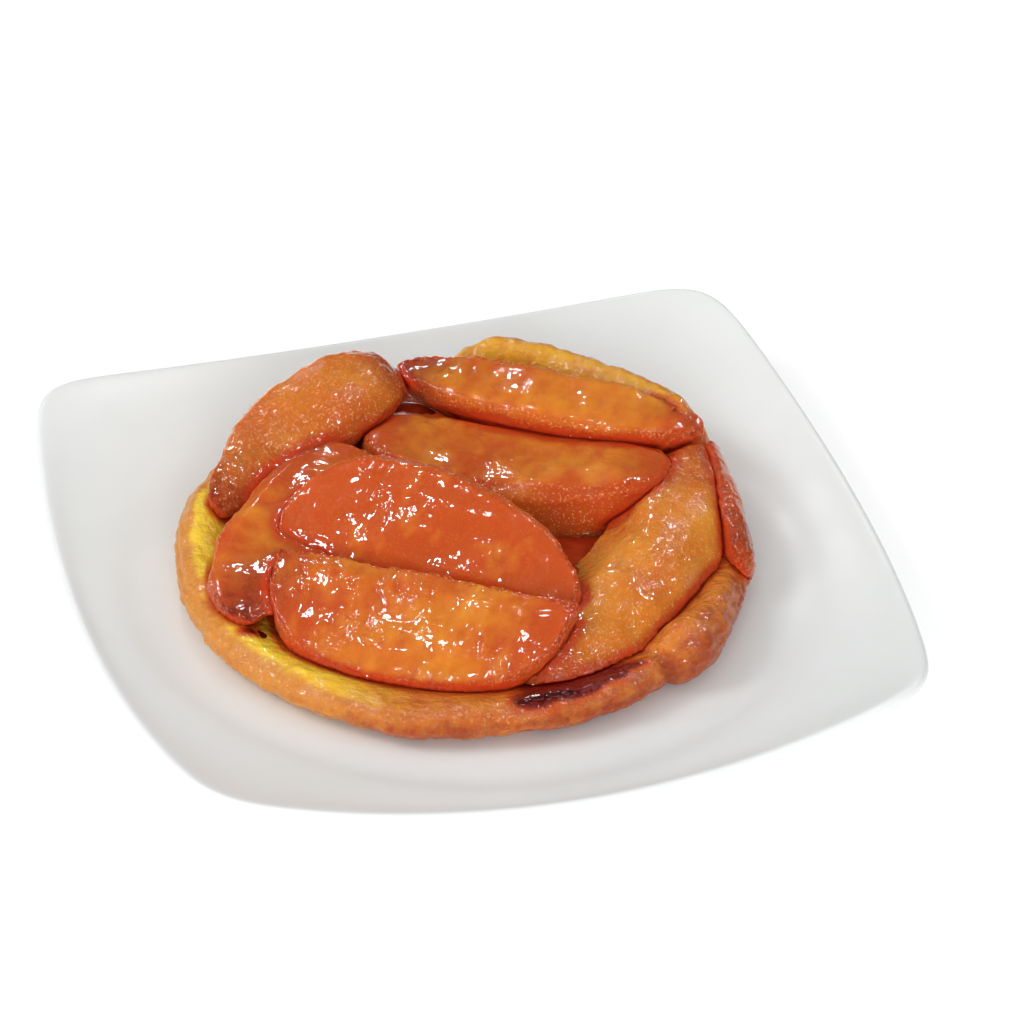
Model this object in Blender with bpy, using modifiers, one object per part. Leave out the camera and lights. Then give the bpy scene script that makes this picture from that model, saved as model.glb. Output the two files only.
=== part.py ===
"""An individual tarte tatin on its square plate: caramelised apple wedges laid over a
tucked puff pastry base. Run with: blender --background --python part.py

Metres, +Z up. The origin is where the plate's foot meets the table, under its middle.
The plate's sides run along X and Y, and the tart lies on it with a slight turn.
Sizes below are in millimetres and are scaled once, when a mesh is made.
"""

import math

import bmesh
import bpy
from mathutils import Vector, noise

MM = 0.001
CLEARANCE = 0.35  # left between two pieces that touch
BED_CLEARANCE = 0.5  # on the pastry's coarser surface, to leave about as much

# Plate: a square with bowed sides and upturned corners, and a round well.
PLATE_HALF = 72.0  # to the straight line that joins two corners
PLATE_BOW = 8.9  # how far the middle of a side stands outside that line
PLATE_CORNER_POWER = 20.0  # higher is a sharper corner
PLATE_WALL = 4.2
PLATE_RIM = [(-0.7, 0.15), (0.0, -0.9), (-0.9, -2.6), (-2.4, -3.6)]  # (out, up) at the edge
PLATE_EDGE_INSET = 4.0  # where the underside meets that rounded edge
PLATE_FOOT_HEIGHT = 3.0
PLATE_FOOT_IN, PLATE_FOOT_OUT = 44.0, 50.0
PLATE_FOOT_SLOPE = 2.0  # how much wider the foot is at its root, on the inside
PLATE_FOOT_COVE = 4.0  # and on the outside
WELL_RADIUS = 64.0
WELL_STEP, WELL_STEP_RUN = 1.6, 5.0
FLANGE_START = 2.0  # out from the well
FLANGE_RISE, FLANGE_POWER = 0.118, 1.284
WELL_TOP = PLATE_FOOT_HEIGHT + PLATE_WALL
PLATE_SIDES = 64
CORNER_CROWDING = 0.62  # 0 spaces the sides evenly, 1 gathers them all at the corners

# Pastry: a disc whose edge is tucked up round the apples, highest at the back.
TART_CENTRE = (-1.8, 1.9)
TART_TURN = -17.25  # degrees
PASTRY_RADIUS = 58.0
PASTRY_FLOOR = 4.6
PASTRY_SIDES = 84
RIM_LOW = 7.4
RIM_LEFT, RIM_LEFT_AT, RIM_LEFT_SPREAD = 3.0, 168.0, 38.0  # more height on the left
RIM_BACK, RIM_BACK_FROM, RIM_BACK_TO = 14.2, 32.0, 88.0  # and on the far side
PLEAT_AT, PLEAT_RUN = -37.0, 38.0  # the right end of the rim overlaps the front one
PLEAT_RISE, PLEAT_STEP = 3.8, 1.6
PLEAT_FRONT = 3.0  # degrees either side of the fold
PLEAT_HOLD = 0.35  # share of the run before it starts to fade
EDGE_WAVE, EDGE_RIPPLE, RIM_WAVE = (0.9, 7.0, 2.0), (0.5, 22.0, 5.0), (0.6, 16.0, 9.0)
PASTRY_OUTSIDE = [  # (in from the edge, share of the rim's height)
    (9.0, 0.0), (4.8, 0.0), (3.2, 0.13), (0.6, 0.38), (0.0, 0.56), (0.8, 0.78),
    (2.5, 0.94), (4.6, 1.0), (7.2, 0.9)]
PASTRY_INSIDE = [(10.5, 0.45), (15.0, 0.0), (34.0, 0.0)]  # the share is above the floor
BED_DEPTH = 40.0  # of the block that trims the undersides of the apples

# Apple wedges, in the tart's frame: X to the right, Y to the back, Z up from the well.
# start and end are the two tips; turn rolls the skin side from straight up (0) towards
# the right of the way from start to end; sector is the angle between the cut faces;
# depth runs from the tip line out to the skin; core is how far the core edge lies on
# the other side of that line; full is how blunt the ends are; lean moves the deepest
# place towards an end; bow moves the middle; toe spreads the core edge to the left.
WEDGES = {
    "apple_front": dict(
        start=(-36.5, -16.0, 17.5), end=(23.0, -31.0, 16.0), turn=145.0, sector=56.0,
        depth=24.5, core=5.0, full=3.2, lean=-0.06),
    "apple_middle": dict(
        start=(-36.5, -5.5, 16.0), end=(23.5, -26.0, 12.5), turn=-84.0, sector=54.0,
        depth=19.5, core=9.5, full=2.5, lean=-0.28),
    "apple_back": dict(
        start=(-14.0, 44.0, 19.5), end=(48.5, 27.0, 18.0), turn=127.0, sector=62.0,
        depth=8.5, core=8.0, full=2.4),
    "apple_inner": dict(
        start=(-20.5, 28.5, 15.0), end=(42.5, 15.5, 15.5), turn=112.5, sector=62.0,
        depth=15.5, core=14.0, full=3.2, bow=(0.0, 0.0, -5.5)),
    "apple_back_left": dict(
        start=(-50.0, 6.5, 8.5), end=(-14.5, 45.0, 16.0), turn=23.0, sector=78.0,
        depth=12.5, core=6.0, full=2.8, lean=0.22, bow=(-1.6, 1.6, 0.0)),
    "apple_left": dict(
        start=(-42.5, -29.5, 9.0), end=(-21.0, 18.0, 17.5), turn=-103.0, sector=34.0,
        depth=12.5, core=13.0, full=3.2),
    "apple_right": dict(
        start=(14.0, -45.0, 3.0), end=(47.0, 26.0, 14.5), turn=30.0, sector=84.0,
        depth=6.5, core=10.0, full=2.8, lean=-0.16, bow=(8.5, -3.0, -1.0), toe=17.0),
    "apple_far_right": dict(
        start=(55.5, -9.0, 6.0), end=(47.0, 31.0, 13.0), turn=60.0, sector=60.0,
        depth=4.0, core=7.0, full=2.4),
}
WEDGE_RINGS = 9
WEDGE_DISH = 0.9  # how hollow the cut faces are
SKIN_CROWN = 1.04  # the skin side's reach between its two edges
CORE_CREASE, SKIN_CREASE = 0.5, 0.95
APPLE_LUMP, APPLE_LUMP_SIZE = 1.0, 17.0
LUMP_SEEDS = (0.0, 11.3, 27.1)

PORCELAIN = ("porcelain", (0.86, 0.87, 0.85), 0.12)
CRUST = ("crust", (0.62, 0.31, 0.09), 0.45)
APPLE = ("apple", (0.60, 0.19, 0.035), 0.18)


def smooth(low, high, value):
    """0 below low, 1 above high, and an S curve between."""
    share = min(max((value - low) / (high - low), 0.0), 1.0)
    return share * share * (3.0 - 2.0 * share)


def lump(angle, size, count, seed):
    """Smooth unevenness up to size, with about count lumps round a full turn."""
    reach = count / math.tau
    place = Vector((reach * math.cos(angle), reach * math.sin(angle), seed))
    return size * noise.noise(place)


def unevenness(point):
    """How far a point of an apple wedge is moved off its regular shape."""
    place = point / APPLE_LUMP_SIZE
    return APPLE_LUMP * Vector([
        noise.noise(place + Vector((0.0, seed, 0.0))) for seed in LUMP_SEEDS])


def collection(name, hidden=False):
    made = bpy.data.collections.new(name)
    bpy.context.scene.collection.children.link(made)
    made.hide_render = hidden
    return made


def material(name, colour, roughness):
    made = bpy.data.materials.new(name)
    made.use_nodes = True
    shader = made.node_tree.nodes["Principled BSDF"]
    shader.inputs["Base Color"].default_value = (*colour, 1.0)
    shader.inputs["Roughness"].default_value = roughness
    shader.inputs["Metallic"].default_value = 0.0
    return made


def mesh_object(name, bm, finish, group):
    """Turns a bmesh in millimetres into a smooth-shaded object in metres."""
    bmesh.ops.scale(bm, vec=(MM, MM, MM), verts=bm.verts)
    bmesh.ops.recalc_face_normals(bm, faces=bm.faces)
    mesh = bpy.data.meshes.new(name)
    bm.to_mesh(mesh)
    bm.free()
    mesh.materials.append(finish)
    mesh.shade_smooth()
    made = bpy.data.objects.new(name, mesh)
    group.objects.link(made)
    return made


def loft(bm, rings, first_pole, last_pole):
    """A closed skin through rings of equal count, with a fan to a pole at each end."""
    loops = [[bm.verts.new(point) for point in ring] for ring in rings]
    count = len(loops[0])
    for near, far in zip(loops, loops[1:]):
        for i in range(count):
            j = (i + 1) % count
            bm.faces.new((near[i], near[j], far[j], far[i]))
    for pole, loop in ((first_pole, loops[0]), (last_pole, loops[-1])):
        tip = bm.verts.new(pole)
        for i in range(count):
            bm.faces.new((tip, loop[(i + 1) % count], loop[i]))


def plate_outline(angle):
    """Distance from the middle to the plate's edge, at an angle in plan."""
    across, along = abs(math.cos(angle)), abs(math.sin(angle))
    bow = PLATE_BOW / PLATE_HALF
    reach = 1.0
    for _ in range(30):
        x, y = reach * across, reach * along
        side = x / (1.0 + bow * (1.0 - min(y, 1.2) ** 2))
        end = y / (1.0 + bow * (1.0 - min(x, 1.2) ** 2))
        power = PLATE_CORNER_POWER
        reach /= (side**power + end**power) ** (1.0 / power)
    return reach * PLATE_HALF


def plate_height(radius):
    """Top face above the table: flat in the well, a soft step, then the flange."""
    rise = WELL_STEP * smooth(WELL_RADIUS, WELL_RADIUS + WELL_STEP_RUN, radius)
    flange = max(radius - WELL_RADIUS - FLANGE_START, 0.0)
    return WELL_TOP + rise + FLANGE_RISE * flange**FLANGE_POWER


def build_plate(finish, group):
    even = [math.tau * i / PLATE_SIDES for i in range(PLATE_SIDES)]
    angles = [angle + CORNER_CROWDING / 4.0 * math.sin(4.0 * angle) for angle in even]
    outline = [plate_outline(angle) for angle in angles]
    rings = []

    def ring(height_of, radius_of):
        rings.append([
            Vector((radius_of(edge) * math.cos(angle), radius_of(edge) * math.sin(angle),
                    height_of(edge)))
            for angle, edge in zip(angles, outline)])

    def top_ring(radius_of):
        ring(lambda edge: plate_height(radius_of(edge)), radius_of)

    inner = WELL_RADIUS + WELL_STEP_RUN
    for radius in (WELL_RADIUS / 2.0, WELL_RADIUS, (WELL_RADIUS + inner) / 2.0, inner):
        top_ring(lambda edge, radius=radius: radius)
    for share in (0.5, 0.86):
        top_ring(lambda edge, share=share: inner + share * (edge - inner))
    for out, up in PLATE_RIM:
        ring(lambda edge, up=up: plate_height(edge) + up, lambda edge, out=out: edge + out)

    def under(edge, share):
        """Radius of the underside, from the foot's root (0) to the rounded edge (1)."""
        root = PLATE_FOOT_OUT + PLATE_FOOT_COVE
        return root + share * (edge - PLATE_EDGE_INSET - root)

    for share in (0.55, 0.0):
        ring(lambda edge, share=share: plate_height(under(edge, share)) - PLATE_WALL,
             lambda edge, share=share: under(edge, share))
    foot = [(PLATE_FOOT_OUT, 0.0), (PLATE_FOOT_IN, 0.0),
            (PLATE_FOOT_IN - PLATE_FOOT_SLOPE, PLATE_FOOT_HEIGHT)]
    for radius, height in foot:
        ring(lambda edge, height=height: height, lambda edge, radius=radius: radius)
    bm = bmesh.new()
    loft(bm, rings, (0, 0, WELL_TOP), (0, 0, PLATE_FOOT_HEIGHT))
    return mesh_object("plate", bm, finish, group)


def signed_degrees(angle, start=0.0):
    """An angle in degrees from start, between -180 and 180."""
    return math.degrees(math.remainder(angle - math.radians(start), math.tau))


def pleat(angle):
    """1 just past the fold in the rim, fading out along it, and 0 in front of it."""
    past = signed_degrees(angle, PLEAT_AT)
    fade = smooth(PLEAT_HOLD * PLEAT_RUN, PLEAT_RUN, past)
    return smooth(-PLEAT_FRONT, PLEAT_FRONT, past) * (1.0 - fade)


def pastry_radius(angle):
    uneven = lump(angle, *EDGE_WAVE) + lump(angle, *EDGE_RIPPLE)
    return PASTRY_RADIUS + uneven + PLEAT_STEP * (pleat(angle) - 0.5)


def rim_height(angle):
    """Height of the pastry's edge above its underside."""
    left = math.exp(-((signed_degrees(angle, RIM_LEFT_AT) / RIM_LEFT_SPREAD) ** 2))
    degrees = signed_degrees(angle)
    back = smooth(RIM_BACK_FROM - 14.0, RIM_BACK_FROM + 4.0, degrees)
    back *= 1.0 - smooth(RIM_BACK_TO - 3.0, RIM_BACK_TO + 15.0, degrees)
    return (RIM_LOW + RIM_LEFT * left + RIM_BACK * back + PLEAT_RISE * pleat(angle)
            + lump(angle, *RIM_WAVE))


def pastry_mesh(under=0.0):
    """The pastry, or with under below 0 the same top face on a deeper block."""
    angles = [math.tau * i / PASTRY_SIDES for i in range(PASTRY_SIDES)]
    rings = []

    def ring(inset, height_of):
        rings.append([
            Vector(((pastry_radius(angle) - inset) * math.cos(angle),
                    (pastry_radius(angle) - inset) * math.sin(angle), height_of(angle)))
            for angle in angles])

    for inset, share in PASTRY_OUTSIDE:
        ring(inset, lambda angle, share=share: share * rim_height(angle) or under)
    for inset, share in PASTRY_INSIDE:
        ring(inset, lambda angle, share=share:
             PASTRY_FLOOR + share * (rim_height(angle) - PASTRY_FLOOR))
    bm = bmesh.new()
    loft(bm, rings, (0, 0, under), (0, 0, PASTRY_FLOOR))
    return bm


def wedge_mesh(start, end, turn, sector, depth, core, full, lean=0.0, bow=(0, 0, 0),
               toe=0.0):
    """A coarse cage of an apple wedge: each ring is a sector with its point at the core."""
    start, end, bow = Vector(start), Vector(end), Vector(bow)
    along = (end - start).normalized()
    up = (Vector((0, 0, 1)) - along * along.z).normalized()
    side = along.cross(up)
    roll = math.radians(turn)
    half = math.radians(sector) / 2.0
    out = up * math.cos(roll) + side * math.sin(roll)
    across = side * math.cos(roll) - up * math.sin(roll)
    rings = []
    for k in range(1, WEDGE_RINGS):
        place = -math.cos(math.pi * k / WEDGE_RINGS)
        girth = (1.0 - abs(place - lean * (1.0 - place**2)) ** full) ** 0.5
        middle = start.lerp(end, (place + 1.0) / 2.0) + bow * (1.0 - place**2)
        apex = middle - out * core * girth
        radius = (core + depth) * girth

        def spoke(share, reach):
            angle = half * share
            return apex + (out * math.cos(angle) + across * math.sin(angle)) * radius * reach

        spread, dish = across * toe * girth, across * WEDGE_DISH * girth
        ring = [
            apex - spread, spoke(1.0, 0.5) - dish, spoke(1.0, 1.0),
            spoke(0.5, SKIN_CROWN), spoke(0.0, SKIN_CROWN), spoke(-0.5, SKIN_CROWN),
            spoke(-1.0, 1.0), spoke(-1.0, 0.5) + dish - spread / 2.0]
        rings.append([point + unevenness(point) for point in ring])
    bm = bmesh.new()
    loft(bm, rings, start, end)
    crease = bm.edges.layers.float.new("crease_edge")
    bm.verts.ensure_lookup_table()
    sharp = {0: CORE_CREASE, 2: SKIN_CREASE, 6: SKIN_CREASE}  # by place in the ring
    around = len(rings[0])
    for edge in bm.edges:
        low, high = sorted(vert.index for vert in edge.verts)
        if high - low == around and low % around in sharp:
            edge[crease] = sharp[low % around]
    return bm


def subdivide(obj):
    modifier = obj.modifiers.new("soften", "SUBSURF")
    modifier.levels = modifier.render_levels = 1


def cut(obj, cutters):
    """One cut by all of these at once."""
    group = collection("cutters_of_" + obj.name, hidden=True)
    for cutter in cutters:
        group.objects.link(cutter)
    modifier = obj.modifiers.new("cut", "BOOLEAN")
    modifier.operation = "DIFFERENCE"
    modifier.operand_type = "COLLECTION"
    modifier.collection = group


def cutter_of(obj, group, seat, clearance=CLEARANCE):
    """The same piece, grown by the clearance, to cut what lies against it."""
    grown = bpy.data.objects.new(obj.name + "_cutter", obj.data)
    group.objects.link(grown)
    grown.parent = seat
    grown.hide_render = True
    grown.display_type = "WIRE"
    if "soften" in obj.modifiers:
        subdivide(grown)
    swell = grown.modifiers.new("swell", "DISPLACE")
    swell.strength = clearance * MM
    swell.mid_level = 0.0
    return grown


def build_tart(crust, apple, parts, cutters):
    """The pastry first, then each wedge, cut by the pastry and by those above it."""
    seat = bpy.data.objects.new("tart_seat", None)
    parts.objects.link(seat)
    seat.location = (
        TART_CENTRE[0] * MM, TART_CENTRE[1] * MM, (WELL_TOP + CLEARANCE) * MM)
    seat.rotation_euler.z = math.radians(TART_TURN)
    pastry = mesh_object("pastry", pastry_mesh(), crust, parts)
    pastry.parent = seat
    bed = mesh_object("bed", pastry_mesh(-BED_DEPTH), crust, cutters)
    above = [cutter_of(bed, cutters, seat, BED_CLEARANCE)]
    bpy.data.objects.remove(bed)
    for name, wedge in WEDGES.items():
        made = mesh_object(name, wedge_mesh(**wedge), apple, parts)
        made.parent = seat
        subdivide(made)
        cut(made, above)
        above.append(cutter_of(made, cutters, seat))


def main():
    for old in list(bpy.data.objects):
        bpy.data.objects.remove(old)
    parts = collection("tarte_tatin")
    cutters = collection("cutters", hidden=True)
    porcelain, crust, apple = (material(*spec) for spec in (PORCELAIN, CRUST, APPLE))
    build_plate(porcelain, parts)
    build_tart(crust, apple, parts, cutters)


main()
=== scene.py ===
"""The looks of an individual tarte tatin on its square plate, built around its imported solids.

Every piece stands in the solids' own frame: metres, +Z up, the origin under the middle
of the plate. Sizes in the code are in millimetres unless a name says otherwise.
"""

import math

import bmesh
import bpy
import numpy as np
from bpy.props import FloatProperty, FloatVectorProperty, IntProperty, PointerProperty
from mathutils import Matrix, Vector, noise
from mathutils.bvhtree import BVHTree


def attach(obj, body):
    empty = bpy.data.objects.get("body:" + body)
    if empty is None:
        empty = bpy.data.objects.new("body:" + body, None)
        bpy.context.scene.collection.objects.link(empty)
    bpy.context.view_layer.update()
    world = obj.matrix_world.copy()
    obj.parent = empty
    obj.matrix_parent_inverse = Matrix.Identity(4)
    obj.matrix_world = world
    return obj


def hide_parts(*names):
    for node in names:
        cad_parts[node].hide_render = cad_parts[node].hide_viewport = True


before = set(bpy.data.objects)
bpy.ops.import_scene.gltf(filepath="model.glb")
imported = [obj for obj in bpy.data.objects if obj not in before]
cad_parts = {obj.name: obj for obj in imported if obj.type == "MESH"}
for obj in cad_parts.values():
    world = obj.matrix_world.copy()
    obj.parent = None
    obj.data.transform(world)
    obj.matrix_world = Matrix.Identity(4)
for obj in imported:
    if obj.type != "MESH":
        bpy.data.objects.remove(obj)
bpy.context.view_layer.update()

bl_info = {
    "name": "Tarte tatin",
    "version": (1, 0, 0),
    "blender": (4, 5, 0),
    "location": "3D View > Sidebar > Tart",
    "description": "Builds a caramelised apple tart and its plate around packed solids",
    "category": "Object",
}

MM = 0.001
TINY = 1e-6  # metres, nearer than which two points are one

# The plate's form, as in the solids.
PLATE_HALF = 72.0
PLATE_BOW = 8.9
PLATE_CORNER_POWER = 20.0
PLATE_WALL = 4.2
PLATE_FOOT_HEIGHT = 3.0
WELL_RADIUS = 64.0
WELL_STEP, WELL_STEP_RUN = 1.6, 5.0
WELL_SOFTNESS = 4.0  # how much further the glaze spreads the step, either way
FLANGE_START, FLANGE_RISE, FLANGE_POWER = 2.0, 0.118, 1.284
WELL_TOP = PLATE_FOOT_HEIGHT + PLATE_WALL
RIM_PLACE, RIM_GAP = 90.0, 10.0  # where the rim is drawn before it is moved to the outline
OUTLINE_ROUNDS = 30  # steps that settle a point of the outline
POLE_SIZE = 0.01  # within which the spun points in the middle become one

# The tart's own frame: X to the right, Y to the back, Z up from the pastry's underside.
TART_CENTRE = (-1.8, 1.9)
TART_TURN = math.radians(-17.25)
TART_SEAT = WELL_TOP + 0.35  # with the gap that touching solids keep
PASTRY_RADIUS = 58.0
RIM_STARTS = (PASTRY_RADIUS - 12.0, PASTRY_RADIUS - 6.0)  # radii, from bed to rim

# The fold, where the right end of the rim laps over the front one. FOLD_AT is its angle.
# The flap past it and the crease before it are given in degrees from there.
FOLD_AT = -41.0
FLAP, FLAP_LIFT = (-1.0, 1.0, 4.0, 22.0), 1.1
CREASE_AT, CREASE_WIDTH, CREASE_DEPTH = -1.0, 1.6, 0.9

# Stretches of the rim in degrees round the tart, anticlockwise from its right side:
# where each one starts, where it is full, where it begins to fade and where it ends.
RIM_RIGHT = (-80.0, -50.0, -2.0, 20.0)
RIM_FRONT = (-130.0, -95.0, 0.0, 30.0)
RIM_BACK = (28.0, 45.0, 95.0, 115.0)
RIM_LEFT = (125.0, 150.0, 238.0, 262.0)
# Where the pastry is darker: painted shade in the gaps behind the left wedges; in front, a
# caramel crescent, then painted shade along the groove by the right wedge.
SHADED_BEHIND = (82.0, 102.0, 112.0, 132.0)
CARAMEL_AND_SHADE_FRONT = (-84.0, -72.0, -50.0, -38.0)

# The radii over which the darker pastry ends on those two stretches. From BANK_AT on, in
# degrees, the front one narrows by BANK_NARROWS for each degree.
SHADED_BEHIND_OUT, CARAMEL_AND_SHADE_FRONT_OUT = (54.0, 57.0), (53.0, 57.0)
BANK_AT, BANK_NARROWS = -60.0, 0.15

# Relief as layers of noise: depth and grain in millimetres, and a seed. The ripples of
# the glaze are also stretched: along the wedge, out to its skin, and across it.
RIM_LUMPS = ((0.75, 9.0, 0.0), (0.45, 3.6, 4.0), (0.20, 1.6, 9.0))
RIM_PUFF = 0.25  # how far the rim has risen all over
LAYER_WAVE = 3.4  # of the pastry's layers, in radians for each millimetre of height
LAYER_DEPTH = 0.16
GLAZE_RIPPLES = ((0.30, 2.8, 0.0, (1.0, 2.2, 1.0)), (0.12, 1.2, 3.0, (1.0, 1.6, 1.0)))
SKIN_PORES = ((0.40, 4.5, 0.0), (0.20, 1.7, 5.0))
RAGGED_EDGE = ((0.35, 2.6, 7.0), (0.35, 1.1, 8.0))
WEDGE_LUMPS = ((0.85, 9.0, 1.0),)
GLAZE_THICKNESS = 0.25

# Edges and faces of a wedge: how far an edge stands out from the smoothed shape, how many
# times that is added to it, and how squarely a cut face looks along its own direction.
EDGE_PASSES = 24
EDGE_RIDGE, EDGE_SHARPENING = (0.07, 0.16), 2.0
CUT_FACING = (0.62, 0.88)

# Neighbours: how far off one is felt, and how close it is where the relief dies away.
WEDGE_FEELS, PASTRY_FEELS = 4.5, 4.0
TOUCHING = (0.62, 0.95)

# The juice: its edge, the radii between which it sinks, and its height past them.
JUICE_RADIUS = PASTRY_RADIUS - 5.0
JUICE_SHORE, JUICE_LOW = (41.0, 46.0), 4.1
JUICE_DEPTH = 2.0
JUICE_STEPS = 110  # squares of its grid, each way

# Pools of juice: middle, reach to the right and back, rise above the juice round them,
# and how dark the caramel is there, from 0 to 1. The first lies on the rim.
POOLS = (
    ((21.5, -50.2), (13.0, 4.4), 4.6, 1.0),
    ((-41.0, -30.5), (5.0, 4.0), 3.4, 1.0),
    ((-14.0, 36.5), (11.0, 9.0), 7.0, 0.2),
    ((25.0, -15.0), (9.0, 8.0), 3.0, 0.3),
)

# Soft lights that the glaze doesn't mirror: place and size in metres.
KEY_PLACE, KEY_SIZE = (-0.75, 0.10, 0.75), 0.45
FRONT_PLACE, FRONT_SIZE = (-0.30, -1.00, 0.45), 0.6
LIGHT_AIM = (0.0, 0.0, 0.02)
FLOOR_REACH = 3.0  # metres, from the middle to each side
SENSOR = 36.0  # the camera's, across
CAMERA_SEES = (0.1, 10.0)  # metres, from the nearest to the furthest

# Lights seen only in the glaze: name, place and size in metres, and brightness.
GLINTS = (
    ("top_glint", (-0.25, 0.05, 1.05), 0.10, 330.0),
    ("back_glint", (0.05, 0.9, 0.8), 0.08, 420.0),
    ("left_glint", (-0.85, -0.15, 0.7), 0.13, 340.0),
    ("right_glint", (0.6, 0.3, 0.8), 0.11, 340.0),
    ("far_left_glint", (-0.65, 0.55, 0.75), 0.13, 340.0),
    ("front_glint", (0.15, -0.55, 1.0), 0.12, 340.0),
)

# How each wedge lies: its two tips in the tart's frame, the roll of its skin side from
# straight up, and the angle between its cut faces, both in degrees. Then how much
# caramel it has taken up and how rippled the glaze on its cut faces is, from 0 to 1.
WEDGES = {
    "apple_front": ((-36.5, -16.0, 17.5), (23.0, -31.0, 16.0), 145.0, 56.0, 0.62, 0.9),
    "apple_middle": ((-36.5, -5.5, 16.0), (23.5, -26.0, 12.5), -84.0, 54.0, 1.0, 0.45),
    "apple_back": ((-14.0, 44.0, 19.5), (48.5, 27.0, 18.0), 127.0, 62.0, 0.50, 0.6),
    "apple_inner": ((-20.5, 28.5, 15.0), (42.5, 15.5, 15.5), 112.5, 62.0, 0.72, 0.5),
    "apple_back_left": ((-50.0, 6.5, 8.5), (-14.5, 45.0, 16.0), 23.0, 78.0, 0.36, 0.8),
    "apple_left": ((-42.5, -29.5, 9.0), (-21.0, 18.0, 17.5), -103.0, 34.0, 0.75, 0.4),
    "apple_right": ((14.0, -45.0, 3.0), (47.0, 26.0, 14.5), 5.0, 34.0, 0.15, 0.6),
    "apple_far_right": ((55.5, -9.0, 6.0), (47.0, 31.0, 13.0), 60.0, 60.0, 0.8, 0.8),
}

# Places where the apple has browned in the caramel: middle, reach, and share from 0 to 1.
BROWNED = (
    ((-12.0, 43.0, 20.0), 10.0, 0.85), ((-49.0, 7.0, 9.0), 9.0, 0.75),
    ((-44.0, 17.0, 12.0), 10.0, 0.6), ((-42.5, -28.0, 8.0), 8.0, 1.0),
    ((-37.0, -18.0, 15.0), 8.0, 0.4), ((56.0, 2.0, 9.0), 6.0, 1.0),
    ((48.0, 20.0, 14.0), 8.0, 0.3), ((24.0, -28.0, 12.0), 6.0, 0.3),
)


class PlateSettings(bpy.types.PropertyGroup):
    """The porcelain plate."""

    sides: IntProperty(
        name="Sides", description="Steps of the spin round the plate", default=128, min=32)
    glaze: FloatVectorProperty(
        name="Glaze", description="Colour of the glazed porcelain", subtype="COLOR",
        default=(0.865, 0.89, 0.88), min=0.0, max=1.0)


class PastrySettings(bpy.types.PropertyGroup):
    """The tucked puff pastry base."""

    voxel: FloatProperty(
        name="Grid", description="Size of the even grid that the pastry is remeshed to",
        default=1.10 * MM, min=0.3 * MM, unit="LENGTH")
    golden: FloatVectorProperty(
        name="Golden", description="Glazed pastry on the inside of the rim",
        subtype="COLOR", default=(0.96, 0.64, 0.050), min=0.0, max=1.0)
    baked: FloatVectorProperty(
        name="Baked", description="Pastry on the outside of the rim", subtype="COLOR",
        default=(0.60, 0.180, 0.030), min=0.0, max=1.0)
    # Also the colour of the painted shade low on the wall, along the right side and in the
    # crease.
    browned: FloatVectorProperty(
        name="Browned", description="Darkest spots of the baked rim", subtype="COLOR",
        default=(0.36, 0.060, 0.018), min=0.0, max=1.0)


class AppleSettings(bpy.types.PropertyGroup):
    """The caramelised apple wedges."""

    voxel: FloatProperty(
        name="Grid", description="Size of the even grid that a wedge is remeshed to",
        default=0.66 * MM, min=0.3 * MM, unit="LENGTH")
    flesh: FloatVectorProperty(
        name="Flesh", description="Apple soaked with caramel", subtype="COLOR",
        default=(0.58, 0.094, 0.016), min=0.0, max=1.0)
    pale: FloatVectorProperty(
        name="Pale flesh", description="Apple that took up less caramel",
        subtype="COLOR", default=(0.82, 0.325, 0.032), min=0.0, max=1.0)
    # Painted shade: the colour of the flesh where a neighbour lies closest.
    gap_shade: FloatVectorProperty(
        name="Deep flesh", description="Apple in the gaps, full of caramel",
        subtype="COLOR", default=(0.38, 0.016, 0.006), min=0.0, max=1.0)


class CaramelSettings(bpy.types.PropertyGroup):
    """The caramel juice between and under the apples."""

    level: FloatProperty(
        name="Level", description="Height of the juice above the pastry's underside",
        default=7.5 * MM, min=0.0, unit="LENGTH")
    colour: FloatVectorProperty(
        name="Caramel", description="Colour of the caramel juice", subtype="COLOR",
        default=(0.075, 0.003, 0.003), min=0.0, max=1.0)


class StageSettings(bpy.types.PropertyGroup):
    """Floor, light and camera."""

    azimuth: FloatProperty(
        name="Azimuth", description="Turn of the camera round the plate",
        subtype="ANGLE", default=-0.3010)
    elevation: FloatProperty(
        name="Elevation", description="Height of the camera above the horizon",
        subtype="ANGLE", default=0.6240)
    roll: FloatProperty(
        name="Roll", description="Tilt of the camera about its own axis",
        subtype="ANGLE", default=-0.0203)
    distance: FloatProperty(
        name="Distance", description="From the camera to the middle of its view",
        default=22.01 * PLATE_HALF * MM, unit="LENGTH")
    lens: FloatProperty(
        name="Focal length", description="Focal length on a 36 mm wide sensor, in mm",
        default=280.6, min=1.0)
    target: FloatVectorProperty(
        name="Target", description="Point in the middle of the view",
        default=(9.42 * MM, 5.03 * MM, 19.1 * MM), subtype="XYZ", unit="LENGTH")
    key: FloatProperty(
        name="Key light", description="Power of the large light on the left",
        default=3.1, min=0.0)
    glint: FloatProperty(
        name="Glints", description="Brightness of the lights seen in the glaze",
        default=0.62, min=0.0)
    front: FloatProperty(
        name="Front fill", description="Power of the soft light on the camera's side",
        default=5.3, min=0.0)
    fill: FloatProperty(
        name="Fill", description="Brightness of the surroundings", default=0.62, min=0.0)
    mirrored: FloatProperty(
        name="Mirrored fill", description="Brightness of the surroundings in reflections",
        default=0.05, min=0.0)


# ---------------------------------------------------------------- mesh helpers


def tart_matrix():
    """From the tart's frame in millimetres to the plate's frame in metres."""
    place = Matrix.Translation(Vector((*TART_CENTRE, TART_SEAT)) * MM)
    return place @ Matrix.Rotation(TART_TURN, 4, "Z") @ Matrix.Scale(MM, 4)


def merged_copy(node):
    """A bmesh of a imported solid, with its loose triangles joined."""
    bm = bmesh.new()
    bm.from_mesh(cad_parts[node].data)
    bmesh.ops.remove_doubles(bm, verts=bm.verts, dist=TINY)
    return bm


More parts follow.
